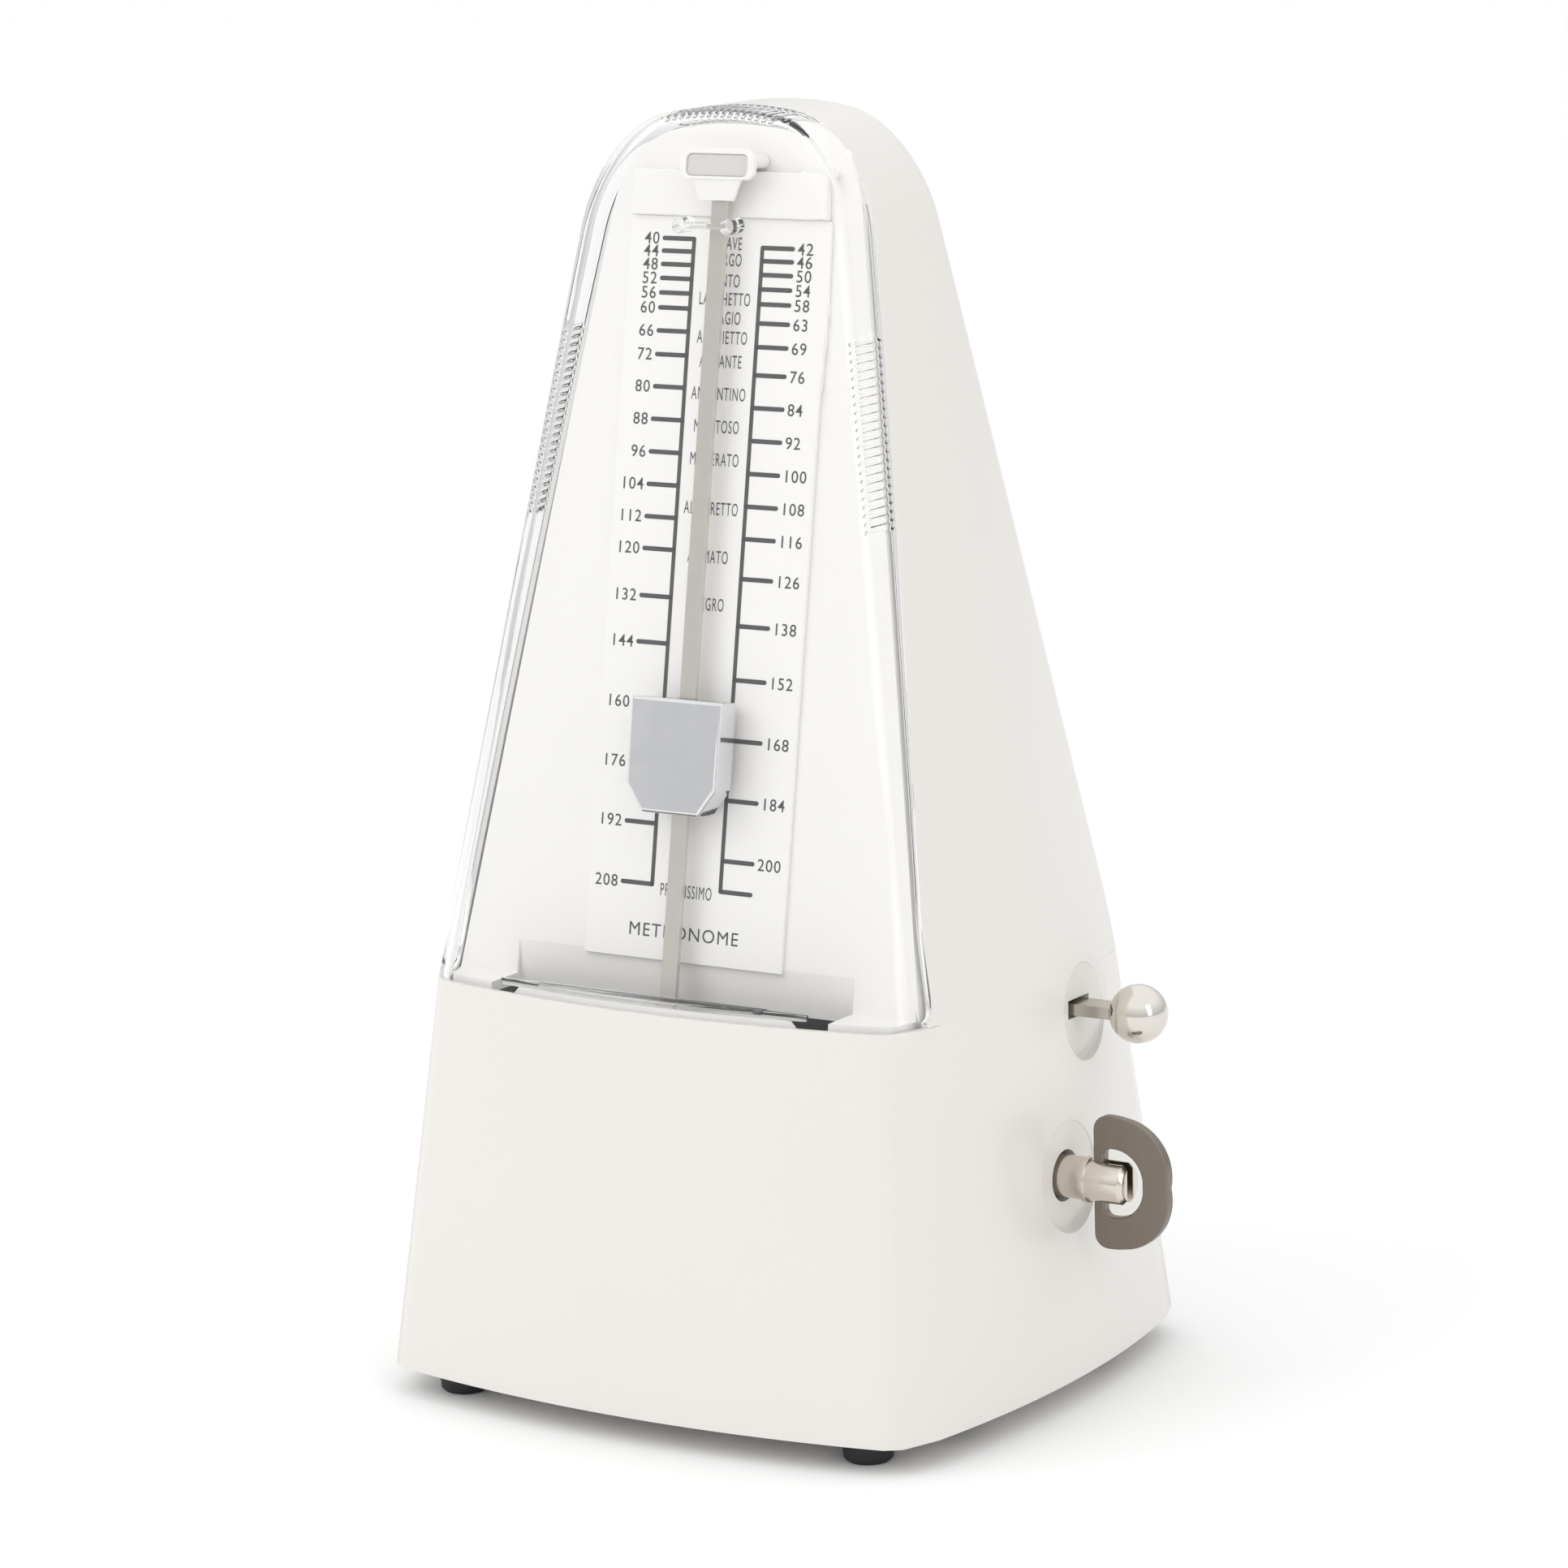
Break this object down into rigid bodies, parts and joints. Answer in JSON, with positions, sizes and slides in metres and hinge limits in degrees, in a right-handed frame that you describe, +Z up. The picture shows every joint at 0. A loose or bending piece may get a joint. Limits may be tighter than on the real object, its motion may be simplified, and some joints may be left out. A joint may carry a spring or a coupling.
{
  "type": "metronome",
  "caption": "Wind-up pyramid metronome: plastic case, clear front cover, pendulum with sliding weight, winding key and bell selector.",
  "frame": {"origin": "on the standing surface, under the centre of the whole object's bounding box with the key and knob at rest; the case's own centre line is 7.84 mm towards -X", "axes": "+Z up, -Y the front with the clear cover, +X the side with the winding key and the beat selector"},
  "size_m": [0.1298, 0.1046, 0.216],
  "materials": {
    "case_plastic": "smooth warm white moulded plastic with a soft gloss",
    "dial_plastic": "smooth white printed plate",
    "clear_plastic": "clear polished moulded plastic",
    "chrome": "bright plated",
    "brushed_steel": "fine brushed",
    "nickel": "satin nickel",
    "plated_steel": "zinc plated sheet",
    "brass": "turned brass",
    "spring_steel": "blued",
    "foot_rubber": "matte"
  },
  "bodies": {
    "case": {"case_shell": "case_plastic", "front_panel": "case_plastic", "header_block": "case_plastic", "rod_catch": "case_plastic", "dial_plate": "dial_plastic", "base_plate": "case_plastic", "foot_front_left": "foot_rubber", "foot_front_right": "foot_rubber", "foot_rear_left": "foot_rubber", "foot_rear_right": "foot_rubber", "base_screws": "spring_steel", "frame_screws": "spring_steel", "right_plate": "plated_steel", "centre_plate": "plated_steel", "left_plate": "plated_steel", "front_bridge": "plated_steel", "rear_bridge": "plated_steel", "escape_cock": "plated_steel", "front_bush": "brass", "rear_bush": "brass", "click_spring": "spring_steel", "click_screw": "spring_steel", "bell": "brass", "bell_post": "plated_steel", "bell_nut": "brass", "bell_bracket": "plated_steel", "detent_spring": "spring_steel"},
    "cover": {"front_cover": "clear_plastic", "cover_clip": "clear_plastic"},
    "pendulum": {"pendulum_rod": "brushed_steel", "pendulum_staff": "brushed_steel", "pendulum_hub": "plated_steel", "bob_stem": "brushed_steel", "pendulum_bob": "brass", "verge_pallets": "plated_steel"},
    "weight": {"sliding_weight": "chrome", "weight_leaf_spring": "spring_steel"},
    "key": {"key_plate": "brushed_steel", "key_shank": "nickel", "winding_arbor": "brushed_steel", "ratchet_wheel": "spring_steel"},
    "barrel": {"spring_barrel": "plated_steel", "barrel_cap": "plated_steel", "mainspring": "spring_steel", "great_wheel": "brass"},
    "intermediate": {"inter_arbor": "brushed_steel", "inter_pinion": "plated_steel", "inter_wheel": "brass", "bell_cam_drum": "brass"},
    "escape": {"escape_arbor": "brushed_steel", "escape_pinion": "plated_steel", "crown_wheel": "brass"},
    "click": {"click": "spring_steel"},
    "selector": {"selector_bar": "chrome", "selector_knob": "chrome", "hammer_carrier": "plated_steel", "hammer_pin": "plated_steel"},
    "hammer": {"hammer_arm": "plated_steel", "hammer_head": "brass"}
  },
  "joints": [
    {"name": "cover_off", "type": "slide", "parent": "case", "child": "cover", "axis": [0, -1, 0], "range_m": [0, 0.06]},
    {"name": "pendulum_swing", "type": "hinge", "parent": "case", "child": "pendulum", "pos_m": [-0.00784, 0, 0.046], "axis": [0, 1, 0], "range_deg": [-5, 5]},
    {"name": "weight_slide", "type": "slide", "parent": "pendulum", "child": "weight", "axis": [0, 0.1706, 0.9853], "range_m": [-0.0313, 0.0756]},
    {"name": "winding_key", "type": "hinge", "parent": "case", "child": "key", "pos_m": [-0.00784, 0.004, 0.0385], "axis": [1, 0, 0], "continuous": true},
    {"name": "barrel_turn", "type": "hinge", "parent": "case", "child": "barrel", "pos_m": [-0.00784, 0.004, 0.0385], "axis": [1, 0, 0], "continuous": true},
    {"name": "intermediate_turn", "type": "hinge", "parent": "case", "child": "intermediate", "pos_m": [-0.00784, 0.00972, 0.05943], "axis": [1, 0, 0], "continuous": true},
    {"name": "escape_turn", "type": "hinge", "parent": "case", "child": "escape", "pos_m": [-0.00784, 0.004, 0.046], "axis": [1, 0, 0], "continuous": true},
    {"name": "click_lift", "type": "hinge", "parent": "case", "child": "click", "pos_m": [-0.00784, -0.008, 0.0469], "axis": [1, 0, 0], "range_deg": [0, 10], "stiffness_Nm_per_rad": 0.0004, "springref_deg": -11.46},
    {"name": "selector_slide", "type": "slide", "parent": "case", "child": "selector", "axis": [1, 0, 0], "range_m": [0, 0.01]},
    {"name": "bell_hammer", "type": "hinge", "parent": "selector", "child": "hammer", "pos_m": [-0.00784, 0.015, 0.0694], "axis": [-1, 0, 0], "range_deg": [0, 12], "stiffness_Nm_per_rad": 0.001, "springref_deg": -17.19}
  ],
  "couplings": [
    {"joint": "intermediate_turn", "follows": "barrel_turn", "ratio": -5},
    {"joint": "escape_turn", "follows": "barrel_turn", "ratio": 24}
  ]
}
